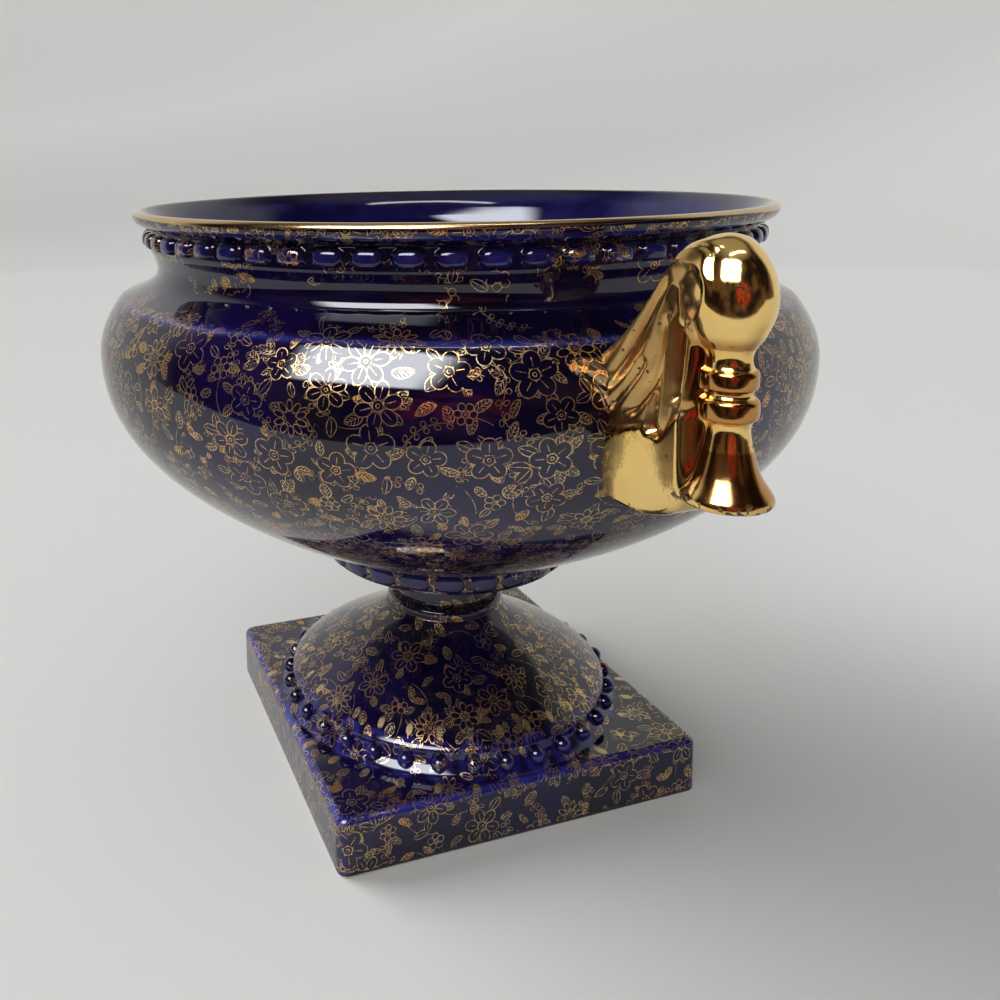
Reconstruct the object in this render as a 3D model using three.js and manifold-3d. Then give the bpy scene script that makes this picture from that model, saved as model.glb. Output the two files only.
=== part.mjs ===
// A small footed mantel urn in cobalt-glazed ceramic: a wide hollow bowl on a collar, neck and domed
// foot with a square plinth, and two gilded scroll handles stuck to the bowl's sides.
// Millimetres, +Z up. The origin is at the middle of the plinth's underside, the handles lie on the
// X axis and the plinth's sides are parallel to X and Y.
import * as THREE from "three";
import { mergeVertices } from "three/addons/utils/BufferGeometryUtils.js";
import Module from "manifold-3d";

// Driving dimensions.
const RIM_HEIGHT = 150;
const PLINTH_SIDE = 96;
const PLINTH_HEIGHT = 14.2;
const BOWL_FOOT_HEIGHT = 60.6; // the joint between the pedestal's collar and the bowl
const BOWL_SIDES = 60;
const INSIDE_SIDES = 36;
const PEDESTAL_SIDES = 34;
const HOLLOW_SIDES = 18;
const PILLAR_SIDES = 12;
const JOINT_GAP = 0.3; // between a handle's root and the bowl's wall
const SLIVER = 0.05; // facets thinner than this are merged with their neighbours

// Bowl.
const BELLY_RADIUS = 91.5;
const BELLY_HEIGHT = 114.2; // where the belly is widest
const SHOULDER_RADIUS = 86.2; // the arris between belly and neck
const SHOULDER_HEIGHT = 127.8;
const NECK_RADIUS = 76.6;
const NECK_HEIGHT = 138.4; // where the neck is narrowest
const LIP_RADIUS = 82.4;
const BOWL_FOOT_RADIUS = 37;
const BOWL_FLOOR = 6; // thickness at the middle of the floor
const BOWL_WALL = 4.6;
const LIP_WALL = 2.6;
const RIM_BEADS = { beads: 60, phase: -0.35, rise: 2.1, length: 6 };
const RIM_BAND = { low: 140.3, high: 145.2, radius: 78, beadInset: 1.3 };
const LIP = [ // the lip's section as distance in from LIP_RADIUS and down from RIM_HEIGHT
  [3, 0.7],
  [1.4, 0],
  [0.1, 2],
  [2.9, 4.3],
];

// Pedestal.
const COLLAR = { radius: 34.2, top: 59.2, bottom: 53.8, draft: 0.7, under: 1.4 };
const COLLAR_BEADS = { beads: 24, phase: 0, rise: 1.3, length: 7.3 };
const STEM_RADIUS = 13.3;
const STEM_RING = { radius: 15.9, height: 39.8, thickness: 3 };
const DOME = { top: 38.2, topRadius: 16, bottom: 19.6, bottomRadius: 43.4 };
const BEAD_RING = { radius: 44.2, height: 16.9, bead: 2.1, beads: 34 };
const PLINTH_EDGE = 1.8; // radius of its upper edges
const PLINTH_CORNER = 2.6; // radius of its upright corners
const PEDESTAL_WALL = 5;
const STEM_BORE = 8; // radius of the hollow inside the stem
const HOLLOW_TOP = 54.5;

// Handles, in a frame whose x runs out from the bowl's axis.
const BRACKET = { back: 80, backLow: 104, backHigh: 119, front: 109.5, bottom: 98.2, top: 148.6 };
const CHEEK = { halfWidth: 8, frontShare: 0.8, bevel: 2 }; // the bracket narrows to the front
const SWELL = { height: 112, reach: 16, gain: 0.24, start: 103 }; // and its cheeks swell to the bowl
const PILLAR_X = 111.1;
const BELL = { bottom: 104.7, rim: 1.6, radius: 7.3, top: 116.6 };
const WAIST_RADIUS = 3.4;
const PILLAR_RINGS = [
  { height: 120.7, radius: 4.3 },
  { height: 125.6, radius: 4.1 },
];
const KNOB = { x: 110.3, height: 139.2, reach: 8, halfWidth: 6.8, halfHeight: 9.6 };
const VOLUTE = { x: 108, y: 6.3, z: 140, radius: 5, ridge: 1.3, from: 2.5, to: -1.25, tighten: 0.35 };
const FLUTE_HUB = { x: 108.5, z: 146 }; // the flutes fan out from here
const FLUTES = [
  { angle: -2.42, from: 8, to: 26 },
  { angle: -2.16, from: 9, to: 32 },
  { angle: -1.94, from: 12, to: 34 },
  { angle: -1.7, from: 13, to: 30 },
];
const FLUTE = { halfWidth: 1.25, depth: 1.1 };

const glaze = new THREE.MeshStandardMaterial({ color: 0x140a5c, roughness: 0.08, metalness: 0 });
const gilt = new THREE.MeshStandardMaterial({ color: 0xd9a441, roughness: 0.18, metalness: 1 });

const wasm = await Module();
wasm.setup();

// ---------------------------------------------------------------- solids

function solidOf(geometry) {
  const bare = geometry.clone();
  bare.deleteAttribute("normal");
  bare.deleteAttribute("uv");
  const merged = mergeVertices(bare, 1e-4);
  return new wasm.Manifold(
    new wasm.Mesh({
      numProp: 3,
      vertProperties: new Float32Array(merged.attributes.position.array),
      triVerts: new Uint32Array(merged.index.array),
    }),
  );
}

function geometryOf(solid) {
  const mesh = solid.getMesh();
  return new THREE.BufferGeometry()
    .setAttribute("position", new THREE.BufferAttribute(mesh.vertProperties, 3))
    .setIndex(new THREE.BufferAttribute(mesh.triVerts, 1));
}

function meshOf(name, geometry, material) {
  const mesh = new THREE.Mesh(geometry, material);
  mesh.name = name;
  return mesh;
}

// A turned solid whose rings may have different numbers of points. Each ring holds its points in
// order round the Z axis, starting near +X. The first and last rings are single points on the axis,
// and the outside is listed from the bottom up.
function ringSolid(rings) {
  const positions = [];
  const starts = [];
  for (const ring of rings) {
    starts.push(positions.length / 3);
    for (const p of ring) positions.push(p.x, p.y, p.z);
  }
  const index = [];
  for (let k = 0; k + 1 < rings.length; k++) {
    const a = { start: starts[k], count: rings[k].length };
    const b = { start: starts[k + 1], count: rings[k + 1].length };
    stitch(index, a, b);
  }
  return new THREE.BufferGeometry()
    .setAttribute("position", new THREE.Float32BufferAttribute(positions, 3))
    .setIndex(index);
}

// Fills the strip between two rings with triangles, walking round whichever ring is behind.
function stitch(index, a, b) {
  const stepsA = a.count > 1 ? a.count : 0;
  const stepsB = b.count > 1 ? b.count : 0;
  let i = 0;
  let j = 0;
  while (i < stepsA || j < stepsB) {
    const onA = a.start + (i % a.count);
    const onB = b.start + (j % b.count);
    const aIsBehind = stepsB === 0 || (stepsA > 0 && (i + 0.5) / stepsA <= (j + 0.5) / stepsB);
    if (j >= stepsB || (i < stepsA && aIsBehind)) {
      index.push(onA, a.start + ((i + 1) % a.count), onB);
      i += 1;
    } else {
      index.push(onA, b.start + ((j + 1) % b.count), onB);
      j += 1;
    }
  }
}

// A round ring of a turned solid at the profile point (radius, height).
function roundRing(point, sides) {
  if (point.x === 0) return [new THREE.Vector3(0, 0, point.y)];
  const ring = [];
  for (let i = 0; i < sides; i++) {
    const angle = (2 * Math.PI * i) / sides;
    ring.push(new THREE.Vector3(point.x * Math.cos(angle), point.x * Math.sin(angle), point.y));
  }
  return ring;
}

// A ring of flat-topped beads: each has one point in the gap and one near each of its ends.
function beadedRing(radius, height, { beads, phase, rise, length }) {
  const ring = [];
  const pitch = (2 * Math.PI) / beads;
  const halfBead = length / 2 / (radius + rise);
  for (let i = 0; i < beads; i++) {
    const gap = pitch * (i + phase);
    const middle = gap + pitch / 2;
    for (const [angle, r] of [
      [gap, radius],
      [middle - halfBead * 0.8, radius + rise],
      [middle + halfBead * 0.8, radius + rise],
    ]) {
      ring.push(new THREE.Vector3(r * Math.cos(angle), r * Math.sin(angle), height));
    }
  }
  return ring;
}

const at = (radius, height) => new THREE.Vector2(radius, height);

// The points of a Bezier curve of two to four control points, without its first point.
function bend(steps, ...control) {
  const Curve = control.length === 3 ? THREE.QuadraticBezierCurve : THREE.CubicBezierCurve;
  return new Curve(...control).getPoints(steps).slice(1);
}

// ---------------------------------------------------------------- bowl

const shoulder = at(SHOULDER_RADIUS, SHOULDER_HEIGHT);
const belly = at(BELLY_RADIUS, BELLY_HEIGHT);
const bowlFoot = at(BOWL_FOOT_RADIUS, BOWL_FOOT_HEIGHT);

// The outside of the bowl below its bead band, from the neck down, moved out by grow.
function bowlOutside(grow) {
  const neck = at(NECK_RADIUS, NECK_HEIGHT);
  const points = [
    neck,
    ...bend(2, neck, at(NECK_RADIUS + 0.5, NECK_HEIGHT - 5.4), shoulder),
    ...bend(3, shoulder, at(BELLY_RADIUS, 121), belly),
    ...bend(6, belly, at(BELLY_RADIUS, 96), at(79, 80), bowlFoot),
  ];
  return points.map((p) => at(p.x + grow, p.y));
}

function makeBowl() {
  const lip = LIP.map(([inset, drop]) => at(LIP_RADIUS - inset, RIM_HEIGHT - drop));
  const neckInside = NECK_RADIUS - LIP_WALL - 1.2;
  const insideRadius = BELLY_RADIUS - BOWL_WALL;
  const bellyInside = at(insideRadius, BELLY_HEIGHT + 1);
  const floor = BOWL_FOOT_HEIGHT + BOWL_FLOOR;
  const inside = [
    at(0, floor),
    ...bend(5, at(0, floor), at(insideRadius / 2, floor), at(insideRadius, 86), bellyInside),
    ...bend(3, bellyInside, at(insideRadius, 129), at(neckInside, 130), at(neckInside, 137)),
    at(LIP_RADIUS - 6.2, 146),
  ];
  const round = (points, sides) => points.map((p) => roundRing(p, sides));
  const bandGap = RIM_BAND.radius;
  const beads = [RIM_BAND.high - RIM_BAND.beadInset, RIM_BAND.low + RIM_BAND.beadInset].map((height) =>
    beadedRing(bandGap, height, RIM_BEADS),
  );
  const rings = [
    ...round(inside, INSIDE_SIDES),
    ...round(lip, BOWL_SIDES),
    roundRing(at(bandGap - 0.4, RIM_BAND.high), BOWL_SIDES),
    ...beads,
    roundRing(at(bandGap - 0.6, RIM_BAND.low), BOWL_SIDES),
    ...round(bowlOutside(0), BOWL_SIDES),
    roundRing(at(0, BOWL_FOOT_HEIGHT), BOWL_SIDES),
  ];
  return meshOf("bowl", ringSolid(rings.reverse()), glaze);
}

// ---------------------------------------------------------------- pedestal

// A block with a square plan, rounded upright corners and rounded upper edges.
function plinthBlock(side, height, corner, edge) {
  const half = side / 2 - edge;
  const reach = Math.max(corner - edge, 0.01);
  const plan = new THREE.Shape();
  plan.moveTo(-half + reach, -half);
  plan.lineTo(half - reach, -half);
  plan.absarc(half - reach, -half + reach, reach, -Math.PI / 2, 0);
  plan.absarc(half - reach, half - reach, reach, 0, Math.PI / 2);
  plan.absarc(-half + reach, half - reach, reach, Math.PI / 2, Math.PI);
  plan.absarc(-half + reach, -half + reach, reach, Math.PI, 1.5 * Math.PI);
  const block = new THREE.ExtrudeGeometry(plan, {
    depth: height,
    bevelThickness: edge,
    bevelSize: edge,
    bevelSegments: 2,
    curveSegments: 2,
  });
  block.translate(0, 0, -edge);
  return solidOf(block);
}

// Everything of a solid above a height.
function cutBelow(solid, height) {
  const box = new THREE.BoxGeometry(400, 400, 200).translate(0, 0, height - 100);
  return solid.subtract(solidOf(box));
}

function pedestalTurning() {
  const collarEdge = COLLAR.radius - COLLAR_BEADS.rise;
  const underCollar = COLLAR.bottom - COLLAR.under;
  const ring = STEM_RING;
  const domeTop = at(DOME.topRadius, DOME.top);
  const domeBottom = at(DOME.bottomRadius, DOME.bottom);
  const filletRadius = DOME.bottomRadius + 2.4; // where the dome's foot meets the plinth
  const above = [
    at(0, BOWL_FOOT_HEIGHT),
    at(COLLAR.radius - 4, BOWL_FOOT_HEIGHT),
    at(COLLAR.radius - 1, COLLAR.top),
  ];
  const beads = [COLLAR.top - 1.4, COLLAR.bottom + 1.6].map((height, row) =>
    beadedRing(collarEdge - row * COLLAR.draft, height, COLLAR_BEADS),
  );
  const below = [
    at(COLLAR.radius - 2.4, COLLAR.bottom),
    at(COLLAR.radius - 12, underCollar),
    ...bend(3, at(COLLAR.radius - 12, underCollar), at(STEM_RADIUS, underCollar), at(STEM_RADIUS, 48)),
    at(STEM_RADIUS, ring.height + ring.thickness / 2),
    at(ring.radius, ring.height + 0.7),
    at(ring.radius, ring.height - 0.7),
    at(DOME.topRadius - 0.6, ring.height - ring.thickness / 2),
    ...bend(5, domeTop, at(20, 32), at(36, 26.6), domeBottom),
    at(DOME.bottomRadius - 1, DOME.bottom - 1.4),
    at(DOME.bottomRadius - 0.4, PLINTH_HEIGHT + 1.2),
    at(filletRadius, PLINTH_HEIGHT + 0.2),
    at(filletRadius, PLINTH_HEIGHT - 1),
    at(0, PLINTH_HEIGHT - 1),
  ];
  const round = (points) => points.map((p) => roundRing(p, PEDESTAL_SIDES));
  const rings = [...round(above), ...beads, ...round(below)];
  return solidOf(ringSolid(rings.reverse()));
}

// The ring of round beads at the foot of the dome.
function beadRing(solid) {
  let made = solid;
  for (let i = 0; i < BEAD_RING.beads; i++) {
    const angle = (2 * Math.PI * (i + 0.5)) / BEAD_RING.beads;
    const bead = new THREE.IcosahedronGeometry(BEAD_RING.bead);
    bead.translate(BEAD_RING.radius, 0, BEAD_RING.height).rotateZ(angle);
    made = made.add(solidOf(bead));
  }
  return made;
}

// The hollow that opens under the plinth and reaches up into the stem.
function pedestalHollow() {
  const side = PLINTH_SIDE - 2 * PEDESTAL_WALL;
  const recess = PLINTH_HEIGHT - PEDESTAL_WALL;
  const domeInside = DOME.bottomRadius - PEDESTAL_WALL - 1;
  const square = plinthBlock(side, recess, 6, PLINTH_EDGE);
  const inner = [
    at(0, -1),
    at(domeInside, -1),
    at(domeInside, recess + 2),
    ...bend(6, at(domeInside, recess + 4), at(26, 24), at(STEM_BORE, 26), at(STEM_BORE, 36)),
    at(STEM_BORE, HOLLOW_TOP - 3),
    at(STEM_BORE - 2.5, HOLLOW_TOP),
    at(0, HOLLOW_TOP),
  ];
  const rings = inner.map((p) => roundRing(p, HOLLOW_SIDES));
  const opening = new THREE.BoxGeometry(side, side, 8).translate(0, 0, -3.9);
  return cutBelow(square.add(solidOf(ringSolid(rings))), -1).add(solidOf(opening));
}

function makePedestal() {
  const plinth = cutBelow(plinthBlock(PLINTH_SIDE, PLINTH_HEIGHT, PLINTH_CORNER, PLINTH_EDGE), 0);
  const whole = beadRing(plinth.add(pedestalTurning()));
  const hollowed = whole.subtract(pedestalHollow()).simplify(SLIVER);
  return meshOf("pedestal", geometryOf(hollowed), glaze);
}

// ---------------------------------------------------------------- handles

// The bracket between bowl and pillar: its side outline, extruded across, with shaped cheeks.
function bracket() {
  const { back, backLow, backHigh, front, bottom, top } = BRACKET;
  const outline = new THREE.Shape();
  outline.moveTo(back, SWELL.height);
  outline.lineTo(back, backLow);
  outline.quadraticCurveTo(back + 7.5, bottom, back + 16, bottom);
  outline.quadraticCurveTo(front - 6.5, bottom, front - 2, bottom + 4.8);
  outline.lineTo(front, BELL.bottom + BELL.rim);
  outline.lineTo(front, top - 0.6);
  outline.quadraticCurveTo(front - 5, top, front - 9, top - 5.4);
  outline.lineTo(front - 18, top - 16.4);
  outline.quadraticCurveTo(back + 8.5, top - 20.2, back, backHigh);
  outline.closePath();
  const block = new THREE.ExtrudeGeometry(outline, {
    depth: 2 * (CHEEK.halfWidth - CHEEK.bevel),
    bevelThickness: CHEEK.bevel,
    bevelSize: CHEEK.bevel,
    bevelOffset: -CHEEK.bevel,
    bevelSegments: 1,
    curveSegments: 4,
  });
  block.translate(0, 0, CHEEK.bevel - CHEEK.halfWidth).rotateX(Math.PI / 2);
  return solidOf(block).warp((p) => {
    const forward = THREE.MathUtils.clamp((p[0] - SWELL.start + 6) / (PILLAR_X - SWELL.start + 6), 0, 1);
    const backward = Math.max(0, (SWELL.start - p[0]) / (SWELL.start - 88));
    const middle = Math.max(0, 1 - ((p[2] - SWELL.height) / SWELL.reach) ** 2);
    p[1] *= THREE.MathUtils.lerp(1, CHEEK.frontShare, forward) + SWELL.gain * backward * middle;
  });
}

// The turned drop in front of the bracket: bell, two rings and the stem up into the knob.
function pillar() {
  const profile = [
    at(0, BELL.bottom),
    at(BELL.radius - 0.5, BELL.bottom),
    at(BELL.radius, BELL.bottom + 0.6),
    at(BELL.radius, BELL.bottom + BELL.rim),
    ...bend(
      4,
      at(BELL.radius, BELL.bottom + BELL.rim),
      at(WAIST_RADIUS + 0.9, BELL.bottom + 5.5),
      at(WAIST_RADIUS, BELL.top),
    ),
  ];
  for (const ring of PILLAR_RINGS) {
    profile.push(
      at(WAIST_RADIUS + 0.1, ring.height - 2.4),
      at(ring.radius, ring.height - 0.8),
      at(ring.radius, ring.height + 0.8),
    );
  }
  profile.push(at(WAIST_RADIUS, 129.2), at(WAIST_RADIUS + 0.6, 131.4), at(0, 136));
  const rings = profile.map((p) => roundRing(p, PILLAR_SIDES));
  return solidOf(ringSolid(rings)).translate([PILLAR_X, 0, 0]);
}

function knob() {
  const ball = new THREE.SphereGeometry(1, 14, 8);
  ball.rotateX(Math.PI / 2).scale(KNOB.reach, KNOB.halfWidth, KNOB.halfHeight);
  return solidOf(ball.translate(KNOB.x, 0, KNOB.height));
}

// The rolled edge of the volute on one side, as a round bar along a tightening turn.
function voluteBar(side) {
  const points = [];
  const steps = 9;
  for (let i = 0; i <= steps; i++) {
    const share = i / steps;
    const angle = THREE.MathUtils.lerp(VOLUTE.from, VOLUTE.to, share);
    const reach = VOLUTE.radius * (1 - VOLUTE.tighten * share * share);
    const [x, z] = [VOLUTE.x + reach * Math.cos(angle), VOLUTE.z + reach * Math.sin(angle)];
    points.push(new THREE.Vector3(x, side * VOLUTE.y, z));
  }
  const section = new THREE.Shape().absarc(0, 0, VOLUTE.ridge, 0, 2 * Math.PI);
  const bar = new THREE.ExtrudeGeometry(section, {
    steps: 9,
    curveSegments: 2,
    extrudePath: new THREE.CatmullRomCurve3(points),
  });
  return solidOf(bar);
}

// A spindle-shaped furrow on one side of the bracket.
function furrow(side, { angle, from, to }) {
  const spindle = new THREE.SphereGeometry(1, 5, 4);
  const middle = (from + to) / 2;
  spindle.rotateZ(Math.PI / 2).scale((to - from) / 2, FLUTE.depth, FLUTE.halfWidth);
  spindle.rotateY(-angle);
  const x = FLUTE_HUB.x + middle * Math.cos(angle);
  const z = FLUTE_HUB.z + middle * Math.sin(angle);
  return solidOf(spindle.translate(x, side * (CHEEK.halfWidth - 0.5), z));
}

// The space the bowl's wall takes up, with the joint's gap.
function bowlSpace() {
  const rings = [...bowlOutside(JOINT_GAP), at(0, BOWL_FOOT_HEIGHT)].map((p) => roundRing(p, BOWL_SIDES));
  const top = roundRing(at(NECK_RADIUS + JOINT_GAP, RIM_HEIGHT), BOWL_SIDES);
  return solidOf(ringSolid([roundRing(at(0, RIM_HEIGHT), BOWL_SIDES), top, ...rings].reverse()));
}

function makeHandle(name, turn) {
  let made = bracket().add(pillar()).add(knob());
  for (const side of [-1, 1]) {
    for (const flute of FLUTES) made = made.subtract(furrow(side, flute));
    made = made.add(voluteBar(side));
  }
  made = made.subtract(bowlSpace());
  return meshOf(name, geometryOf(made.simplify(SLIVER)).rotateZ(turn), gilt);
}

const urn = new THREE.Group();
urn.add(makeBowl(), makePedestal(), makeHandle("handle_right", 0), makeHandle("handle_left", Math.PI));
export default urn;
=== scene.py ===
"""The mantel urn's looks: fine meshes round the CAD frame, cobalt glaze with gold print, and gilding."""

import math

import bmesh
import bpy
import numpy as np
from mathutils import Matrix, Vector, kdtree


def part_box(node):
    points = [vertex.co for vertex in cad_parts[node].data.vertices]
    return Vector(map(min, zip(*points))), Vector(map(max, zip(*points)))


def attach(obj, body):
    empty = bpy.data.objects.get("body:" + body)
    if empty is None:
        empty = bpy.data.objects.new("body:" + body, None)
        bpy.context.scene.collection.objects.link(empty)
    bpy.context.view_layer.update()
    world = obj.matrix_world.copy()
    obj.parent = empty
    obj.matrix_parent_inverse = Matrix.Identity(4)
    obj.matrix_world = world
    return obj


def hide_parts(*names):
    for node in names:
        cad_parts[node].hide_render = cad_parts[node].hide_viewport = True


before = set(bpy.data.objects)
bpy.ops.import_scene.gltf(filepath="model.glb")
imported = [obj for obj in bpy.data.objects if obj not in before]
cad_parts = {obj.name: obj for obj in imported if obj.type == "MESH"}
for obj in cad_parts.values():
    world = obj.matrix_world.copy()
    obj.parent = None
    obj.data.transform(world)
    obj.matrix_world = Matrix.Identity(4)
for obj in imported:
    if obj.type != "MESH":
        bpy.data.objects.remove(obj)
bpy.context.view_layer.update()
MM = 0.001
TAU = 2 * math.pi
RNG = np.random.default_rng(41)

# ---- profiles, in millimetres

BOWL_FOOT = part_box("bowl")[0].z / MM
BELLY_RADIUS = 91.5
NECK = (76.3, 135.0)
SHOULDER = (86.2, 127.8)
BELLY = (BELLY_RADIUS, 114.2)
FOOT = (37.0, BOWL_FOOT)
PLINTH_SIDE = 96.0
PLINTH_HEIGHT = 14.2
PLINTH_CORNER = 2.6
PLINTH_EDGE = 1.8
PLINTH_WALL = 5.0


def bezier(points, steps=40):
    """Points of a Bezier curve of any degree, as an array of (radius, height)."""
    t = np.linspace(0, 1, steps)[:, None]
    n = len(points) - 1
    return sum(math.comb(n, i) * t**i * (1 - t) ** (n - i) * np.array(p) for i, p in enumerate(points))


def along(path):
    """Length along a path at each of its points."""
    return np.concatenate([[0], np.cumsum(np.linalg.norm(np.diff(path, axis=0), axis=1))])


def resample(path, where):
    s = along(path)
    return np.stack([np.interp(where, s, path[:, k]) for k in range(path.shape[1])], axis=1)


def softened(path, radius, step=0.1):
    """The path with its creases rounded off, as glaze rounds them. Its ends stay where they are."""
    path = resample(path, np.arange(0, along(path)[-1], step))
    reach = int(3 * radius / step)
    kernel = np.exp(-0.5 * (np.arange(-reach, reach + 1) * step / radius) ** 2)
    kernel /= kernel.sum()
    soft = path.copy()
    for k in range(2):
        ends = [np.full(reach, 2 * path[0, k]) - path[reach:0:-1, k], path[:, k]]
        ends.append(np.full(reach, 2 * path[-1, k]) - path[-2 : -reach - 2 : -1, k])
        soft[:, k] = np.convolve(np.concatenate(ends), kernel, mode="valid")
    return soft


def spaced(path, flat_step, crease_step, crease=0.06):
    """Rows along a path, closer together where it bends."""
    s = along(path)
    direction = np.unwrap(np.arctan2(np.gradient(path[:, 1]), np.gradient(path[:, 0])))
    bend = np.abs(np.gradient(direction, s + 1e-9 * np.arange(len(s))))
    bend = np.convolve(bend, np.ones(15) / 15, mode="same")
    step = flat_step + (crease_step - flat_step) * np.clip(bend / crease, 0, 1)
    count = np.concatenate([[0], np.cumsum(np.diff(s) / step[1:])])
    rows = np.interp(np.linspace(0, count[-1], int(count[-1]) + 1), count, s)
    return resample(path, rows)


# ---- meshes


def mesh_from_grid(name, grid, close_ends=True, joined=False):
    """A closed mesh from rows of points, each row a ring. grid is (rows, columns, 3), in millimetres.
    The first and last rows are closed by flat ends, or joined to each other."""
    rows, columns, _ = grid.shape
    points = grid.reshape(-1, 3)
    row = np.arange(rows if joined else rows - 1)[:, None]
    i = row * columns
    above = (row + 1) % rows * columns
    j = np.arange(columns)[None, :]
    k = (j + 1) % columns
    quads = np.stack([i + j, i + k, above + k, above + j], axis=-1).reshape(-1, 4)
    faces = [tuple(q) for q in quads.tolist()]
    if close_ends:
        first = tuple(range(columns))[::-1]
        last = tuple(range((rows - 1) * columns, rows * columns))
        faces += [first, last]
    mesh = bpy.data.meshes.new(name)
    mesh.from_pydata((points * MM).tolist(), [], faces)
    mesh.update()
    return mesh


def ring_of(radius, angle, height):
    """Points at given angles round the axis, at one height."""
    level = np.full(len(angle), height)
    return np.stack([radius * np.cos(angle), radius * np.sin(angle), level], axis=1)


def turned(path, columns):
    """Rows of rings from a profile of (radius, height)."""
    angle = np.arange(columns) * TAU / columns
    return np.stack([ring_of(radius, angle, height) for radius, height in path])


def add_object(name, data):
    made = bpy.data.objects.new(name, data)
    bpy.context.scene.collection.objects.link(made)
    return made


def add_piece(name, mesh, slot, *nodes):
    mesh.shade_smooth()
    piece = add_object(name, mesh)
    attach(piece, "root")
    if nodes:
        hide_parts(*nodes)
    return piece


def column(items, name, width=1, kind=np.float32):
    """A property of all of a mesh's vertices, faces or corners, as an array."""
    values = np.empty(len(items) * width, kind)
    items.foreach_get(name, values)
    return values.reshape(-1, width) if width > 1 else values


def point_attributes(mesh, **layers):
    """Writes numbers for each vertex, which the materials read by name. One number stands for all."""
    for name, values in layers.items():
        made = mesh.attributes.new(name, "FLOAT", "POINT")
        values = np.broadcast_to(np.asarray(values, np.float32), len(mesh.vertices))
        made.data.foreach_set("value", np.ascontiguousarray(values))


# ---- bowl


BOWL_COLUMNS = 400
BOWL_FLOOR = BOWL_FOOT + 6


def bowl_outside():
    belly = bezier([BELLY, (BELLY_RADIUS, 96), (79, 80), FOOT], 80)[::-1]
    upper = bezier([SHOULDER, (BELLY_RADIUS, 121), BELLY])[::-1]
    cove = bezier([(78.2, 140.3), (76.9, 138.2), (76.4, 136.2), NECK])[::-1]
    below_neck = [(NECK[0] - 0.05, NECK[1] - 2.1), (NECK[0] + 1.3, NECK[1] - 4.0)]
    neck = bezier([NECK, *below_neck, SHOULDER])[::-1]
    rim = [(78.1, 141.2), (78, 144.4), (77.7, 145.2), (79.4, 145.75), (81.4, 146.8), (82.4, 148.2)]
    top = [(82.3, 149.4), (81.4, 150), (80.4, 150), (79.3, 149.4)]
    return np.concatenate([belly, upper[1:], neck[1:], cove[1:], np.array(rim + top)])


def bowl_inside():
    neck = [(76.6, 146.4), (73.2, 140), (72.8, 137)]
    upper = bezier([(72.8, 137), (72.8, 130), (86.9, 129), (86.9, 115.2)])
    lower = bezier([(86.9, 115.2), (86.9, 86), (44, BOWL_FLOOR), (0.4, BOWL_FLOOR)])
    return np.concatenate([np.array(neck), upper[1:], lower[1:]])


def make_bowl():
    outside = softened(bowl_outside(), 0.45)
    inside = softened(bowl_inside(), 0.8)
    path = np.concatenate([[(0.4, BOWL_FOOT)], spaced(outside, 1.25, 0.5), spaced(inside, 2.6, 1.2)])
    mesh = mesh_from_grid("bowl_body", turned(path, BOWL_COLUMNS))
    return add_piece("bowl_body", mesh, "cobalt_glaze", "bowl")


def bead_band(name, profile, beads, phase, rise, length, inset, per_bead):
    """A closed ring over a band of the profile, with a row of long beads on its outside.
    inset is the share of the band that is left bare on each side of the beads."""
    radius = profile[:, 0].max()
    columns = beads * per_bead
    angle = np.arange(columns) * TAU / columns
    along_bead = ((angle / (TAU / beads) - phase) % 1 - 0.5) * (TAU / beads) * radius
    share = along(profile) / along(profile)[-1]
    half = 0.5 - inset
    grid = np.zeros((len(profile) + 2, columns, 3))
    for row, ((r, height), s) in enumerate(zip(profile, share)):
        oval = np.abs(along_bead / (length / 2)) ** 3.2 + np.abs((s - 0.5) / half) ** 2.8
        reach = r + rise * np.clip(1 - oval, 0, 1) ** 0.4
        grid[row] = ring_of(reach, angle, height)
    back = profile[:, 0].min() - 2
    grid[-2] = ring_of(back, angle, profile[-1, 1])
    grid[-1] = ring_of(back, angle, profile[0, 1])
    return mesh_from_grid(name, grid, close_ends=False, joined=True)


def make_rim_beads():
    profile = np.stack([np.full(16, 78.05), np.linspace(140.5, 145.1, 16)], axis=1)
    mesh = bead_band("rim_beads", profile, 60, phase=-0.35, rise=1.9, length=6.5, inset=0.07, per_bead=18)
    return add_piece("rim_beads", mesh, "cobalt_glaze")


# ---- pedestal


PEDESTAL_COLUMNS = 352
HOLLOW_CORNER = 6 + PLINTH_WALL


def square_ring(inset, height, corner):
    """A ring on the plinth's outline drawn in by inset, its points at even steps round the outline."""
    columns = PEDESTAL_COLUMNS
    half = PLINTH_SIDE / 2 - inset
    radius = max(corner - inset, 0.25)
    straight = 2 * (half - radius)
    arc = radius * math.pi / 2
    s = (np.arange(columns) / columns * 4 + 0.5) % 4
    side = np.floor(s).astype(int)
    share = (s - side) * (straight + arc)
    corner_share = np.clip((share - straight) / arc, 0, 1) * math.pi / 2
    x = np.where(share < straight, half, half - radius + radius * np.cos(corner_share))
    y = np.where(share < straight, share - straight / 2, half - radius + radius * np.sin(corner_share))
    turn = side * math.pi / 2
    ring = np.stack([x * np.cos(turn) - y * np.sin(turn), x * np.sin(turn) + y * np.cos(turn)], axis=1)
    return np.column_stack([ring, np.full(columns, height)])


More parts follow.
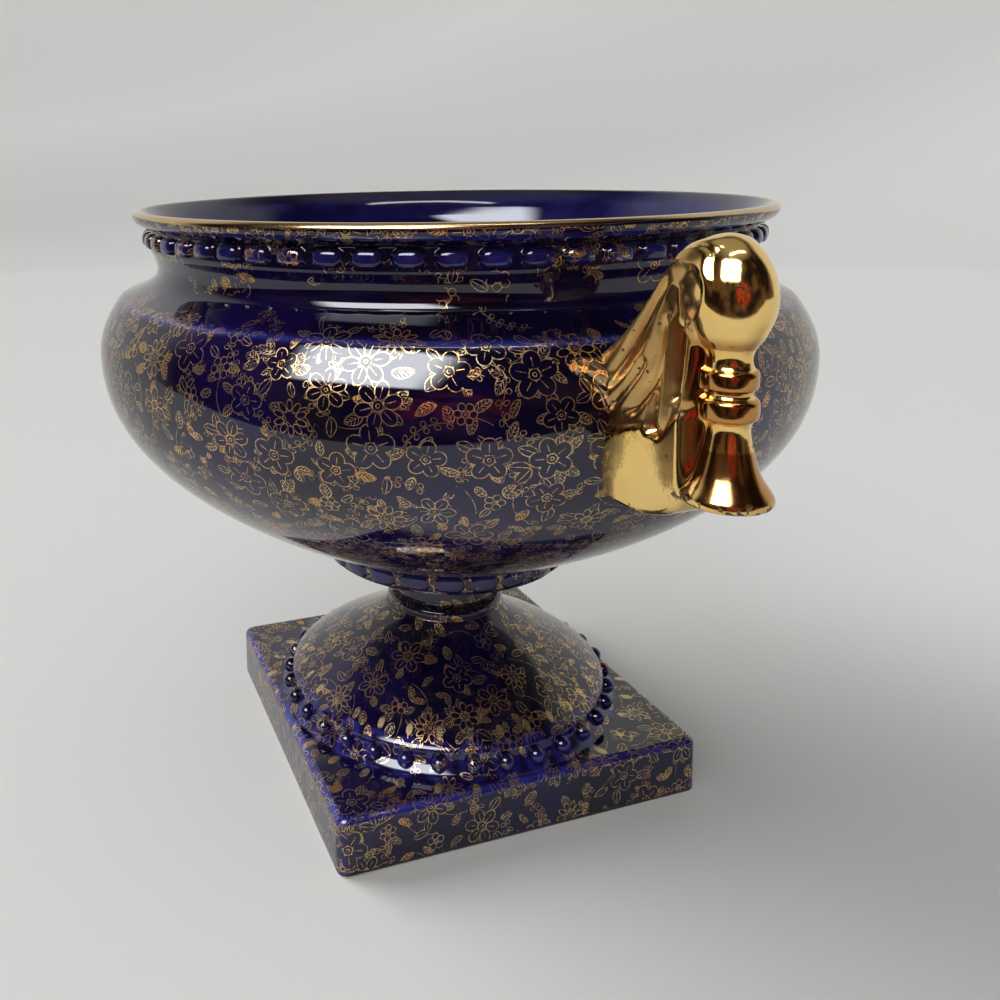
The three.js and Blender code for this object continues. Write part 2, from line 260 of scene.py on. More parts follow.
def pedestal_turning():
    dome = bezier([(16, 38.2), (20, 32), (36, 26.6), (43.4, 19.6)], 60)[::-1]
    foot = [(46.4, 14.2), (45.4, 14.9), (44.4, 16.2), (43.6, 17.6)]
    ring = [(15.4, 38.3), (15.9, 39.1), (15.9, 40.5), (15.2, 41.3), (13.3, 41.6)]
    under = bezier([(13.3, 48), (13.3, 52), (22, 52.4)], 20)
    collar = [(31.8, 53.6), (32.7, 54.6), (33.6, 58.4), (33.2, 59.4), (30.2, 60.6)]
    return np.concatenate([np.array(foot), dome, np.array(ring), under, np.array(collar)])


def underside_rows(angle):
    """The hollow under the pedestal, from the top of the stem down to the rim that it stands on."""
    hollow = bezier([(37.4, 13.2), (26, 24), (8, 26), (8, 36)], 8)[::-1].tolist()
    round_part = [(0.5, 54.5), (5.5, 54.5), (8, 51.5), *hollow, (37.4, 10.4), (38.2, 9.2)]
    square_part = [(6.8, 9.2), (5.6, 8.6), (5.0, 7.4), (5.0, 1.0), (4.6, 0.2), (4.0, 0)]
    rows = [ring_of(radius, angle, height) for radius, height in round_part]
    for inset, height in square_part:
        rows.append(square_ring(inset, height, HOLLOW_CORNER))
    return rows


def plinth_rows():
    """The outside of the plinth, from its foot to its rounded upper edge."""
    foot = [(2.4, 0), (0.6, 0), (0.18, 0.18), (0, 0.6)]
    side = [(0, height) for height in np.linspace(1.4, PLINTH_HEIGHT - PLINTH_EDGE, 12)]
    turn = [math.radians(a) for a in (18, 36, 54, 72, 90)]
    top = PLINTH_HEIGHT - PLINTH_EDGE
    edge = [(PLINTH_EDGE * (1 - math.cos(a)), top + PLINTH_EDGE * math.sin(a)) for a in turn]
    return [square_ring(inset, height, PLINTH_CORNER) for inset, height in foot + side + edge]


def make_pedestal():
    outline = square_ring(0, 0, PLINTH_CORNER)
    angle = np.arctan2(outline[:, 1], outline[:, 0])
    rows = underside_rows(angle) + plinth_rows()
    rim = rows[-1]
    turning = spaced(softened(pedestal_turning(), 0.35), 0.95, 0.42)
    first = ring_of(turning[0, 0], angle, turning[0, 1])
    for share in np.linspace(0, 1, 16)[1:-1]:
        rows.append(rim * (1 - share) + first * share)
    rows += [ring_of(radius, angle, height) for radius, height in turning]
    mesh = mesh_from_grid("pedestal_body", np.stack(rows))
    return add_piece("pedestal_body", mesh, "cobalt_glaze", "pedestal")


ROUND_BEADS = 34
BEAD_RADIUS = 2.1
BEAD_RING_RADIUS = 44.2
BEAD_RING_HEIGHT = 16.9


def make_round_beads():
    """The ring of round beads at the foot of the dome."""
    ball = bmesh.new()
    for i in range(ROUND_BEADS):
        angle = TAU * (i + 0.5) / ROUND_BEADS
        x, y = BEAD_RING_RADIUS * math.cos(angle), BEAD_RING_RADIUS * math.sin(angle)
        at = Matrix.Translation(Vector((x, y, BEAD_RING_HEIGHT)) * MM)
        bmesh.ops.create_icosphere(ball, subdivisions=3, radius=BEAD_RADIUS * MM, matrix=at)
    mesh = bpy.data.meshes.new("round_beads")
    ball.to_mesh(mesh)
    ball.free()
    return add_piece("round_beads", mesh, "cobalt_glaze")


def make_collar_beads():
    heights = np.linspace(54.0, 59.3, 16)
    profile = np.stack([np.interp(heights, [54, 59.3], [32.3, 33.4]), heights], axis=1)
    mesh = bead_band("collar_beads", profile, 24, phase=0, rise=1.15, length=7.6, inset=0.05, per_bead=24)
    return add_piece("collar_beads", mesh, "cobalt_glaze")


# ---- handles

HANDLE_STEP = 0.34
HANDLE_LOW = np.array([86.0, -11.0, 97.0])
HANDLE_HIGH = np.array([119.6, 11.0, 151.0])
PILLAR_X = 111.1
KNOB_AT = np.array([110.3, 0.0, 139.4])
KNOB_REACH = np.array([8.0, 6.9, 9.6])
VOLUTE_AT = (108.6, 140.4)
VOLUTE_RADIUS = 5.2
CHEEK_ROUNDING = 1.3
NUDGE = 0.05  # between the points that give a field's slope
ROOT_DEPTH = 1.0  # how far the handle reaches into the bowl's wall


def smooth_line(points, per_span=5):
    """A Catmull-Rom curve through points."""
    p = np.array(points, float)
    p = np.concatenate([[2 * p[0] - p[1]], p, [2 * p[-1] - p[-2]]])
    t = np.arange(per_span)[:, None] / per_span
    spans = []
    for a, b, c, d in zip(p, p[1:], p[2:], p[3:]):
        square = 2 * a - 5 * b + 4 * c - d
        cube = 3 * b - a - 3 * c + d
        spans.append(0.5 * (2 * b + (c - a) * t + square * t**2 + cube * t**3))
    return np.concatenate([*spans, p[-2:-1]])


def line_distance(x, z, line):
    """Distance from points to an open line, and the share of the line where the nearest point lies."""
    best = np.full(x.shape, np.inf)
    place = np.zeros(x.shape)
    s = along(line) / along(line)[-1]
    for (ax, az), (bx, bz), s0, s1 in zip(line, line[1:], s, s[1:]):
        dx, dz = bx - ax, bz - az
        t = np.clip(((x - ax) * dx + (z - az) * dz) / (dx * dx + dz * dz), 0, 1)
        d = np.hypot(x - ax - t * dx, z - az - t * dz)
        nearer = d < best
        best = np.where(nearer, d, best)
        place = np.where(nearer, s0 + t * (s1 - s0), place)
    return best, place


def inside_polygon(x, z, polygon):
    inside = np.zeros(x.shape, bool)
    for (ax, az), (bx, bz) in zip(polygon, np.roll(polygon, -1, axis=0)):
        if az == bz:
            continue
        crosses = (az > z) != (bz > z)
        inside ^= crosses & (x < (bx - ax) * (z - az) / (bz - az) + ax)
    return inside


def smooth_min(a, b, reach):
    h = np.maximum(reach - np.abs(a - b), 0) / reach
    return np.minimum(a, b) - h * h * reach / 4


def smooth_step(low, high, value):
    t = np.clip((value - low) / (high - low), 0, 1)
    return t * t * (3 - 2 * t)


BRACKET_OUTLINE = np.concatenate(
    [
        smooth_line([(84, 100.5), (88, 98.9), (93.4, 98.3), (99.1, 98.9), (104.6, 101.2), (108.4, 105.4)]),
        smooth_line([(109.4, 107), (109.5, 120), (109.5, 133)]),
        smooth_line(
            [
                (112.6, 143.8), (111.6, 147.6), (108.2, 147.9), (104.9, 146.1), (101.6, 142.4),
                (97.6, 137), (92.8, 131.2), (87.2, 126.2), (82, 122.4),
            ]
        ),
    ]
)
BRACKET_RIM = np.concatenate([BRACKET_OUTLINE, BRACKET_OUTLINE[:1]])

# Lines drawn on the cheeks, each as its points, its half width at each end, and its height.
CHEEK_LINES = [
    ([(104.6, 143.4), (101.0, 138.2), (97.0, 132.0), (92.8, 125.6), (88.4, 119.6)], (0.8, 1.5), -1.15),
    ([(103.8, 135.4), (102.6, 129.4), (100.6, 123.6), (97.4, 119.2), (94.4, 115.6)], (0.6, 0.9), -1.25),
    ([(99.2, 127.8), (96.4, 123.2), (93.0, 119.4), (90.2, 116.2)], (0.5, 0.9), -0.9),
    ([(101.4, 122.4), (100.8, 119.4), (100.5, 116.6), (100.8, 113.4)], (0.4, 1.1), -1.3),
    ([(104.9, 137.4), (104.3, 131.4), (104.0, 125.6), (103.3, 119.4), (102.2, 114.6)], (0.7, 0.8), 1.0),
    ([(106.6, 135.6), (106.4, 129.6), (106.1, 124.4), (105.4, 119.8)], (0.8, 1.0), -1.3),
    ([(107.6, 137.0), (108.4, 133.4), (108.7, 129.4), (108.3, 124.6), (107.4, 119.4)], (0.8, 0.9), 0.9),
]
CHEEK_LINES = [(smooth_line(points), widths, height) for points, widths, height in CHEEK_LINES]
RIDGE_LINE = smooth_line(
    [(92.4, 117.6), (97.0, 125.2), (100.8, 132.2), (103.4, 138.0), (105.4, 142.2), (107.0, 144.2)]
)
VOLUTE_LINE = smooth_line(
    [
        (105.4, 142.2), (107.0, 144.2), (109.4, 145.0), (111.6, 143.2), (112.5, 139.8), (111.9, 136.4),
        (110.4, 134.2),
    ]
)
EYE_AT = (110.0, 133.6)
LEDGE = smooth_line(
    [
        (84, 114.6), (90, 112.8), (97.3, 114.8), (99.6, 114.9), (101.6, 113.6), (103.4, 114.8),
        (105.4, 117.6), (108, 119.4), (112, 120),
    ]
)
PILLAR_PROFILE = smooth_line(
    [
        (104.75, 5.6), (104.8, 6.6), (105.3, 7.08), (106.3, 7.08), (107.4, 6.45), (109.6, 5.1), (112.6, 4.1),
        (115.6, 3.4), (117.4, 3.2), (118.6, 3.6), (119.4, 4.4), (121.9, 4.45), (122.6, 3.7), (123.2, 3.3),
        (123.8, 3.7), (124.5, 4.25), (126.7, 4.25), (127.5, 3.5), (129.0, 3.2), (130.6, 3.5), (132.4, 4.4),
    ],
    4,
)


def rounded(distance, half_width):
    """Height of a half-round section of unit height."""
    return np.sqrt(np.clip(1 - (distance / half_width) ** 2, 0, 1))


def cheek_relief(x, z):
    """How far the side of the bracket stands out from its middle plane, with its flutes and volute."""
    front = smooth_step(86, 108, x)
    middle = np.clip(1 - ((z - 112) / 16) ** 2, 0, 1)
    half = 8.3 - 1.5 * front + 1.6 * middle * smooth_step(104, 88, x)
    half -= 0.9 * smooth_step(106, 99, z) + 0.5 * smooth_step(124, 138, z) * smooth_step(100, 106, x)
    ledge_height = np.interp(x, LEDGE[:, 0], LEDGE[:, 1])
    upper = smooth_step(-0.8, 0.9, z - ledge_height)
    relief = -0.5 * upper
    for line, (w0, w1), height in CHEEK_LINES:
        d, place = line_distance(x, z, line)
        width = w0 + (w1 - w0) * place
        taper = smooth_step(0, 0.16, place) * smooth_step(1, 0.86, place)
        relief += height * taper * np.exp(-((d / width) ** 2))
    channel = smooth_step(106.6, 110.0, x) * smooth_step(104, 112, z) * smooth_step(133.5, 130.5, z)
    half -= 3.4 * channel
    dish = np.hypot(x - VOLUTE_AT[0] + 0.6, z - VOLUTE_AT[1] + 0.4)
    relief -= 0.8 * smooth_step(5.0, 2.0, dish)
    half -= 1.6 * smooth_step(106, 112, x) * smooth_step(142.8, 147.4, z)
    relief -= 1.8 * smooth_step(1.3, 0.3, np.hypot(x - EYE_AT[0], z - EYE_AT[1]))
    d, place = line_distance(x, z, RIDGE_LINE)
    ridge = 0.85 * np.exp(-((d / (1.7 - 0.3 * place)) ** 2)) * smooth_step(0, 0.25, place)
    d, place = line_distance(x, z, VOLUTE_LINE)
    roll = (1.25 - 0.35 * place) * rounded(d, 2.2 - 0.4 * place)
    return half + relief + np.maximum(ridge, roll)


def turned_distance(p, axis_x, profile):
    """Distance to a solid turned about an upright axis, roughly. profile is (height, radius)."""
    reach = np.hypot(p[0] - axis_x, p[1])
    radius = np.interp(p[2], profile[:, 0], profile[:, 1])
    ends = np.maximum(profile[0, 0] - p[2], p[2] - profile[-1, 0])
    return np.maximum((reach - radius) * 0.9, ends)


OUTSIDE_BY_HEIGHT = np.array(sorted(bowl_outside().tolist(), key=lambda p: p[1]))


def handle_plan(x, z):
    """The bracket's outline as a signed distance in its middle plane, and its half width there."""
    rim, _ = line_distance(x, z, BRACKET_RIM)
    side = np.where(inside_polygon(x, z, BRACKET_OUTLINE), -rim, rim)
    disc = np.hypot(x - VOLUTE_AT[0], z - VOLUTE_AT[1]) - VOLUTE_RADIUS
    return smooth_min(side, disc, 1.0), cheek_relief(x, z)


def handle_field(p, plan=None):
    """Signed distance, roughly, from points (3, ...) to the handle's surface, negative inside."""
    x, y, z = p
    side, half = plan or handle_plan(x, z)
    cheek = (np.abs(y) - half) * 0.85
    a, b = side + CHEEK_ROUNDING, cheek + CHEEK_ROUNDING
    plate = np.hypot(np.maximum(a, 0), np.maximum(b, 0)) - CHEEK_ROUNDING
    plate += np.minimum(np.maximum(a, b), 0)
    pear = 1 + 0.05 * (KNOB_AT[2] - z) / KNOB_REACH[2]
    ball = np.sqrt(
        ((x - KNOB_AT[0]) / (KNOB_REACH[0] * pear)) ** 2
        + (y / (KNOB_REACH[1] * pear)) ** 2
        + ((z - KNOB_AT[2]) / KNOB_REACH[2]) ** 2
    )
    knob = (ball - 1) * KNOB_REACH[1]
    pillar = turned_distance(p, PILLAR_X, PILLAR_PROFILE)
    seam = 0.45 + 1.1 * smooth_step(143.5, 148, z)
    body = smooth_min(smooth_min(plate, pillar, 0.7), smooth_min(knob, pillar, 1.6), seam)
    wall = np.interp(z, OUTSIDE_BY_HEIGHT[:, 1], OUTSIDE_BY_HEIGHT[:, 0]) - ROOT_DEPTH
    return np.maximum(body, wall - np.hypot(x, y))


def surface_net(field, plan, low, high, step):
    """A closed quad mesh on the zero surface of a field, with its points pulled onto the surface.
    plan is the part of the field that doesn't depend on y."""
    axes = [np.arange(low[k], high[k] + step, step) for k in range(3)]
    shape = tuple(len(a) for a in axes)
    x, z = np.meshgrid(axes[0], axes[2], indexing="ij")
    flat = [part[:, None, :] for part in plan(x, z)]
    inside = field((x[:, None, :], axes[1][None, :, None], z[:, None, :]), flat) < 0
    low_or_high = [(slice(0, count - 1), slice(1, count)) for count in shape]
    corners = [inside[i, j, k] for i in low_or_high[0] for j in low_or_high[1] for k in low_or_high[2]]
    full = np.logical_and.reduce(corners)
    mixed = np.logical_or.reduce(corners) & ~full
    points = np.argwhere(mixed) * step + np.array([a[0] for a in axes]) + step / 2
    return pulled(field, points.T.copy(), step).T, net_faces(inside, mixed)


def net_faces(inside, mixed):
    """A quad across each grid edge that has one end inside, facing out, as indices of mixed cells."""
    index = np.full(mixed.shape, -1)
    index[mixed] = np.arange(mixed.sum())
    faces = []
    for axis in range(3):
        one, two = [k for k in range(3) if k != axis]
        here = [slice(1, -1)] * 3
        here[axis] = slice(0, -1)
        ahead = list(here)
        ahead[axis] = slice(1, None)
        starts = inside[tuple(here)]
        change = starts != inside[tuple(ahead)]
        cells = np.argwhere(change)
        cells[:, one] += 1
        cells[:, two] += 1
        around = []
        for back_one, back_two in ((1, 1), (0, 1), (0, 0), (1, 0)):
            cell = cells.copy()
            cell[:, one] -= back_one
            cell[:, two] -= back_two
            around.append(index[tuple(cell.T)])
        quad = np.stack(around, axis=1)
        outward = starts[change] ^ (axis == 1)
        quad[~outward] = quad[~outward][:, ::-1]
        faces.append(quad)
    return np.concatenate(faces)


def pulled(field, points, step):
    """Points moved down the field's slope onto its zero surface."""
    for _ in range(3):
        value = field(points)
        slope = np.zeros_like(points)
        for k, nudge in enumerate(NUDGE * np.eye(3)[:, :, None]):
            slope[k] = (field(points + nudge) - value) / NUDGE
        move = value * slope / np.maximum((slope**2).sum(axis=0), 0.05)
        points -= np.clip(move, -step / 2, step / 2)
    return points


def relaxed(points, faces, rounds=2, share=0.35):
    """Evens out the mesh, each point moving a share of the way to the middle of its neighbours."""
    edges = np.concatenate([faces[:, [k, (k + 1) % 4]] for k in range(4)])
    count = np.bincount(edges[:, 0], minlength=len(points)).astype(float)
    for _ in range(rounds):
        total = np.zeros_like(points)
        for k in range(3):
            total[:, k] = np.bincount(edges[:, 0], weights=points[edges[:, 1], k], minlength=len(points))
        points = points + share * (total / count[:, None] - points)
    return points


def make_handles():
    points, faces = surface_net(handle_field, handle_plan, HANDLE_LOW, HANDLE_HIGH, HANDLE_STEP)
    points = relaxed(points, faces)
    made = []
    for name, turn in (("handle_right", 1), ("handle_left", -1)):
        mesh = bpy.data.meshes.new(name + "_gilt")
        mesh.from_pydata((points * (turn, turn, 1) * MM).tolist(), [], faces.tolist())
        made.append(add_piece(name + "_gilt", mesh, "gilding", name))
    return made


# ---- gold print

LINE = 0.165  # width of a printed gold line, in millimetres


def face_table(mesh):
    """Centres and normals of a mesh's faces, in millimetres, and the corners of each."""
    faces = mesh.polygons
    corners = column(faces, "loop_total", kind=np.int32)
    return column(faces, "center", 3) / MM, column(faces, "normal", 3), corners


FACING_APART = 5.0  # how far each place is moved out along its normal before distances are taken


def scattered(places, spacing, near=None, keep_off=0.0):
    """Indices of places at least spacing apart, in a random order, and clear of the points near."""
    cells = {}
    kept = []
    around = [(i, j, k) for i in (-1, 0, 1) for j in (-1, 0, 1) for k in (-1, 0, 1)]
    for index in RNG.permutation(len(places)):
        p = places[index]
        if near is not None and near.find(p)[2] < keep_off:
            continue
        x, y, z = (int(v) for v in np.floor(p / spacing))
        close = (q for i, j, k in around for q in cells.get((x + i, y + j, z + k), ()))
        if any((p[0] - q[0]) ** 2 + (p[1] - q[1]) ** 2 + (p[2] - q[2]) ** 2 < spacing**2 for q in close):
            continue
        cells.setdefault((x, y, z), []).append(p)
        kept.append(index)
    return np.array(kept)


def tree_of(points):
    tree = kdtree.KDTree(len(points))
    for i, p in enumerate(points):
        tree.insert(p, i)
    tree.balance()
    return tree


def tangents(normals, towards):
    """Unit vectors along the surface that point towards given directions, and those across them."""
    t = towards - normals * (towards * normals).sum(axis=1, keepdims=True)
    t /= np.maximum(np.linalg.norm(t, axis=1, keepdims=True), 1e-6)
    return t, np.cross(normals, t)


def corner_vectors(mesh, name, values):
    made = mesh.attributes.new(name, "FLOAT_VECTOR", "CORNER")
    made.data.foreach_set("vector", np.ascontiguousarray(values, dtype=np.float32).ravel())


LEAST_FACING = 0.8  # cosine of the angle round an edge beyond which a motif isn't drawn
OUT_OF_REACH = 99.0


def stamp(mesh, layer, faces, keys, chosen, along_axis, across_axis, offset, settings):
    """Writes, for each face corner, where it lies on the face's nearest motif, and its settings.
    offset moves each motif's origin back along its axis."""
    face_centres, normals, corners = faces
    centres = face_centres[chosen]
    tree = tree_of(keys[chosen])
    nearest = np.array([tree.find(p)[1] for p in keys])
    of_corner = np.repeat(nearest, corners)
    vertex = column(mesh.loops, "vertex_index", kind=np.int32)
    away = column(mesh.vertices, "co", 3)[vertex] / MM - centres[of_corner]
    u = (away * along_axis[of_corner]).sum(axis=1) + offset[of_corner]
    v = (away * across_axis[of_corner]).sum(axis=1)
    facing = (normals * normals[chosen][nearest]).sum(axis=1)
    u[np.repeat(facing, corners) < LEAST_FACING] = OUT_OF_REACH
    corner_vectors(mesh, layer + "_place", np.column_stack([u, v, settings[of_corner, 0]]))
    corner_vectors(mesh, layer + "_shape", settings[of_corner, 1:4])
    corner_vectors(mesh, layer + "_more", settings[of_corner, 4:7])


# Blossoms, each as petals, petal's middle, centre ring, petal's half length and width, middle line.
BLOSSOMS = np.array(
    [
        (5, 2.55, 1.0, 1.75, 1.62, 1.0),
        (6, 2.65, 0.95, 1.6, 1.22, 1.0),
        (5, 2.2, 0.85, 1.5, 1.4, 1.0),
        (10, 2.6, 1.0, 1.15, 0.62, 0.0),
        (9, 2.3, 0.8, 1.25, 0.75, 0.0),
        (6, 1.5, 0.62, 0.72, 0.72, 0.0),
        (5, 1.45, 0.5, 0.85, 0.85, 0.0),
    ]
)
BLOSSOM_SHARES = (0.24, 0.16, 0.14, 0.14, 0.08, 0.14, 0.10)
BLOSSOM_SPACING = 9.6
SPRIG_SPACING = 4.5
TWIG_SPACING = 8.0
BLOSSOM_CLEARANCE = 2.6  # between a blossom's middle and a leaf's


def print_blossoms(mesh, faces, keys):
    """Scatters blossoms over a mesh, and gives their places."""
    normals = faces[1]
    chosen = scattered(keys, BLOSSOM_SPACING)
    kind = RNG.choice(len(BLOSSOMS), len(chosen), p=BLOSSOM_SHARES)
    shape = BLOSSOMS[kind]
    size = RNG.uniform(0.88, 1.12, (len(chosen), 1))
    along_axis, across_axis = tangents(normals[chosen], RNG.normal(size=(len(chosen), 3)))
    tone = RNG.uniform(0, 1, (len(chosen), 1))
    settings = np.hstack([tone, shape[:, :1], shape[:, 1:5] * size, shape[:, 5:]])
    stamp(mesh, "bloom", faces, keys, chosen, along_axis, across_axis, np.zeros(len(chosen)), settings)
    return keys[chosen]


def print_sprigs(mesh, faces, keys, blooms):
    """Scatters single and paired leaves over a mesh, pointing away from the blossoms."""
    normals = faces[1]
    tree = tree_of(blooms)
    chosen = scattered(keys, SPRIG_SPACING, tree, BLOSSOM_CLEARANCE)
    away = np.array([p - np.array(tree.find(p)[0]) for p in keys[chosen]])
    count = len(chosen)
    away += RNG.normal(scale=1.3, size=(count, 3))
    along_axis, across_axis = tangents(normals[chosen], away)
    length = RNG.uniform(3.0, 4.3, count)
    width = length * RNG.uniform(0.2, 0.3, count)
    veined = (RNG.uniform(size=count) < 0.55).astype(float)
    pair = np.where(RNG.uniform(size=count) < 0.3, RNG.uniform(0.5, 0.75, count), 0.0)
    curve = RNG.normal(scale=0.05, size=count)
    filled = (RNG.uniform(size=count) < 0.16).astype(float)
    settings = np.column_stack([RNG.uniform(0, 1, count), length, width, veined, pair, curve, filled])
    stamp(mesh, "sprig", faces, keys, chosen, along_axis, across_axis, length / 2, settings)


def print_twigs(mesh, faces, keys):
    normals = faces[1]
    chosen = scattered(keys, TWIG_SPACING)
    count = len(chosen)
    along_axis, across_axis = tangents(normals[chosen], RNG.normal(size=(count, 3)))
    length = RNG.uniform(8, 11, count)
    bend = RNG.choice((-1, 1), count) * RNG.uniform(0.03, 0.09, count)
    berries = (RNG.uniform(size=count) < 0.6).astype(float)
    none = np.zeros(count)
    settings = np.column_stack([RNG.uniform(0, 1, count), length, bend, berries, none, none, none])
    stamp(mesh, "twig", faces, keys, chosen, along_axis, across_axis, length / 2, settings)


def print_chintz(piece):
    """Lays the three layers of the print on a piece, as places for its material to draw them."""
    mesh = piece.data
    faces = face_table(mesh)
    centres, normals, _ = faces
    keys = centres + FACING_APART * normals
    blooms = print_blossoms(mesh, faces, keys)
    print_sprigs(mesh, faces, keys, blooms)
    print_twigs(mesh, faces, keys)


# ---- materials


def new_shader(name):
    return Shader(bpy.data.materials.new(name))


def chained(operation):
    """A method that joins values from left to right, with a math node for each step."""

    def join(self, *values):
        result = values[0]
        for value in values[1:]:
            result = self.math(operation, result, value)
        return result

    return join


class Shader:
    """Builds the nodes of a material or a world. A value is a number or another node's output."""

    def __init__(self, owner):
        owner.use_nodes = True
        self.material = owner
        self.tree = owner.node_tree
        self.surface = self.tree.nodes.get("Principled BSDF")

    def node(self, kind, inputs=None, **settings):
        made = self.tree.nodes.new(kind)
        for key, value in settings.items():
            setattr(made, key, value)
        for key, value in (inputs or {}).items():
            self.put(made.inputs[key], value)
        return made

    def set(self, name, value):
        """Sets an input of the surface shader."""
        self.put(self.surface.inputs[name], value)

    def put(self, socket, value):
        if isinstance(value, bpy.types.NodeSocket):
            self.tree.links.new(value, socket)
        else:
            socket.default_value = value

    def math(self, operation, *values):
        return self.node("ShaderNodeMath", dict(enumerate(values)), operation=operation).outputs[0]

    add = chained("ADD")
    sub = chained("SUBTRACT")
    mul = chained("MULTIPLY")
    div = chained("DIVIDE")
    less = chained("LESS_THAN")
    more = chained("GREATER_THAN")
    most = chained("MAXIMUM")

    def size(self, value):
        return self.math("ABSOLUTE", value)

    def length(self, a, b):
        return self.math("SQRT", self.add(self.mul(a, a), self.mul(b, b)))

    def ramp(self, value, low, high, to_low=0.0, to_high=1.0):
        inputs = {"Value": value, "From Min": low, "From Max": high, "To Min": to_low, "To Max": to_high}
        return self.node("ShaderNodeMapRange", inputs, interpolation_type="SMOOTHSTEP").outputs[0]

    def number(self, name):
        return self.node("ShaderNodeAttribute", attribute_name=name).outputs["Fac"]

    def split(self, value):
        return tuple(self.node("ShaderNodeSeparateXYZ", {0: value}).outputs)

    def vector(self, name):
        return self.split(self.node("ShaderNodeAttribute", attribute_name=name).outputs["Vector"])

    def place(self, kind="Object"):
        return self.node("ShaderNodeTexCoord").outputs[kind]

    def noise(self, scale, detail=2.0, at=None):
        inputs = {"Vector": at or self.place(), "Scale": scale, "Detail": detail}
        return self.node("ShaderNodeTexNoise", inputs).outputs[0]

    def mix(self, share, a, b):
        return self.node("ShaderNodeMix", {0: share, 6: a, 7: b}, data_type="RGBA").outputs[2]


def line_where(s, distance, width):
    """1 where a distance is under half a line's width."""
    return s.less(s.size(distance), s.mul(width, 0.5))


def draw_blossom(s, width):
    """Lines of the blossom layer, and the area it covers."""
    u, v, tone = s.vector("bloom_place")
    petals, middle, ring = s.vector("bloom_shape")
    half_long, half_wide, mid_line = s.vector("bloom_more")
    r = s.length(u, v)
    turn = s.mul(s.math("ARCTAN2", v, u), s.div(petals, TAU))
    folded = s.mul(s.sub(s.math("FRACT", s.add(turn, 0.5)), 0.5), s.div(TAU, petals))
    x = s.mul(r, s.math("COSINE", folded))
    y = s.mul(r, s.math("SINE", folded))
    oval = s.length(s.div(s.sub(x, middle), half_long), s.div(y, half_wide))
    outside_ring = s.more(r, ring)
    petal = s.mul(line_where(s, s.mul(s.sub(oval, 1.0), half_wide), width), outside_ring)
    reach = s.mul(s.more(x, s.add(ring, 0.45)), s.less(x, s.add(middle, s.mul(half_long, 0.35))))
    vein = s.mul(line_where(s, y, s.mul(width, 0.9)), reach, mid_line)
    outer_ring = line_where(s, s.sub(r, ring), width)
    rings = s.most(outer_ring, line_where(s, s.sub(r, s.mul(ring, 0.35)), width))
    covered = s.most(s.less(oval, 1.08), s.less(r, middle))
    return s.most(petal, vein, rings), covered, tone


def draw_leaf(s, width):
    """Lines of the leaf layer, and the area it covers."""
    u, v, tone = s.vector("sprig_place")
    length, half, veined = s.vector("sprig_shape")
    spread, curve, filled = s.vector("sprig_more")
    side = s.more(spread, 0.1)
    v = s.add(s.mul(v, s.sub(1.0, side)), s.mul(s.size(v), side))
    cosine, sine = s.math("COSINE", spread), s.math("SINE", spread)
    x = s.add(s.mul(u, cosine), s.mul(v, sine))
    y = s.sub(s.mul(v, cosine), s.mul(u, sine))
    y = s.add(y, s.mul(curve, x, x))
    t = s.div(x, length)
    arch = s.mul(4.0, t, s.sub(1.0, t))
    on_leaf = s.mul(s.more(t, 0.0), s.less(t, 1.0))
    edge = s.mul(half, s.math("POWER", s.most(arch, 0.0), 0.8))
    inside = s.mul(s.less(s.size(y), edge), on_leaf)
    outline = s.mul(line_where(s, s.sub(s.size(y), edge), s.mul(width, 1.15)), on_leaf)
    mid = s.mul(line_where(s, y, s.mul(width, 0.8)), on_leaf, s.less(t, 0.93))
    slant = s.math("FRACT", s.div(s.sub(x, s.mul(s.size(y), 1.1)), 0.78))
    veins = s.mul(s.less(slant, s.add(0.26, s.mul(filled, 0.32))), inside, s.most(veined, filled))
    covered = s.mul(s.less(s.size(y), s.add(edge, s.mul(width, 0.8))), on_leaf)
    return s.most(outline, mid, veins), covered, s.add(s.mul(tone, 0.6), s.mul(filled, 0.4))


def draw_twig(s, width):
    """Lines of the twig layer: a bent stem with small berries along it."""
    u, v, tone = s.vector("twig_place")
    length, bend, berries = s.vector("twig_shape")
    from_middle = s.sub(u, s.mul(length, 0.5))
    bent = s.add(v, s.mul(bend, from_middle, from_middle))
    on_stem = s.mul(s.more(u, 0.0), s.less(u, length))
    stem = s.mul(line_where(s, bent, s.mul(width, 0.75)), on_stem)
    pitch = 2.1
    step = s.mul(s.sub(s.math("FRACT", s.div(u, pitch)), 0.5), pitch)
    r = s.length(step, s.sub(s.size(bent), 0.72))
    berry = s.mul(line_where(s, s.sub(r, 0.5), s.mul(width, 0.8)), on_stem, berries)
    return s.most(stem, berry), tone


def draw_petals(s):
    """Filled gold petals inside and outside the ring of round beads, one at each bead."""
    x, y, _ = s.split(s.place())
    r = s.div(s.length(x, y), MM)
    turn = s.mul(s.math("ARCTAN2", y, x), ROUND_BEADS / TAU)
    side = s.mul(s.sub(s.math("FRACT", turn), 0.5), TAU / ROUND_BEADS, r)
    outer = s.length(side, s.div(s.sub(r, BEAD_RING_RADIUS + 5.2), 1.9))
    inner = s.length(s.div(side, 0.85), s.div(s.sub(r, BEAD_RING_RADIUS - 4.0), 1.3))
    shape = s.ramp(s.math("MINIMUM", outer, inner), 1.05, 0.85)
    smudge = s.ramp(s.noise(330, 3), 0.36, 0.5, 0.15, 0.9)
    return s.mul(shape, smudge, s.number("petal"))


PRINT_SHARE = 0.7  # noise above it leaves the print out where it is strongest


